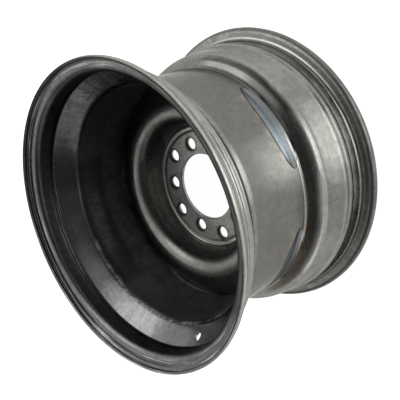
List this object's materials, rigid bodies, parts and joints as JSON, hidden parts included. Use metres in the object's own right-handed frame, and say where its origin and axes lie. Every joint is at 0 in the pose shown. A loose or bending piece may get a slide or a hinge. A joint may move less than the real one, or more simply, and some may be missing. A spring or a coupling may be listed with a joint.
{
  "type": "steel wheel rim",
  "caption": "Wide bare steel wheel: rolled drop-centre rim with tyre flanges, welded around a deep pressed disc with a centre bore and bolt circles.",
  "frame": {"origin": "on the axle line, in the plane of the brake-side flange edge that the wheel lies on", "axes": "+Z along the axle towards the street side, +X through a hole of the small bolt circle"},
  "size_m": [0.415, 0.4148, 0.2776],
  "materials": {
    "rim_steel": "bare rolled steel, satin, with heat tint at the welds",
    "disc_steel": "bare pressed steel, dark satin mill finish",
    "weld_metal": "raw weld bead, dark and rippled"
  },
  "bodies": {
    "root": {"rim": "rim_steel", "wheel_disc": "disc_steel", "weld_beads": "weld_metal"}
  },
  "joints": []
}
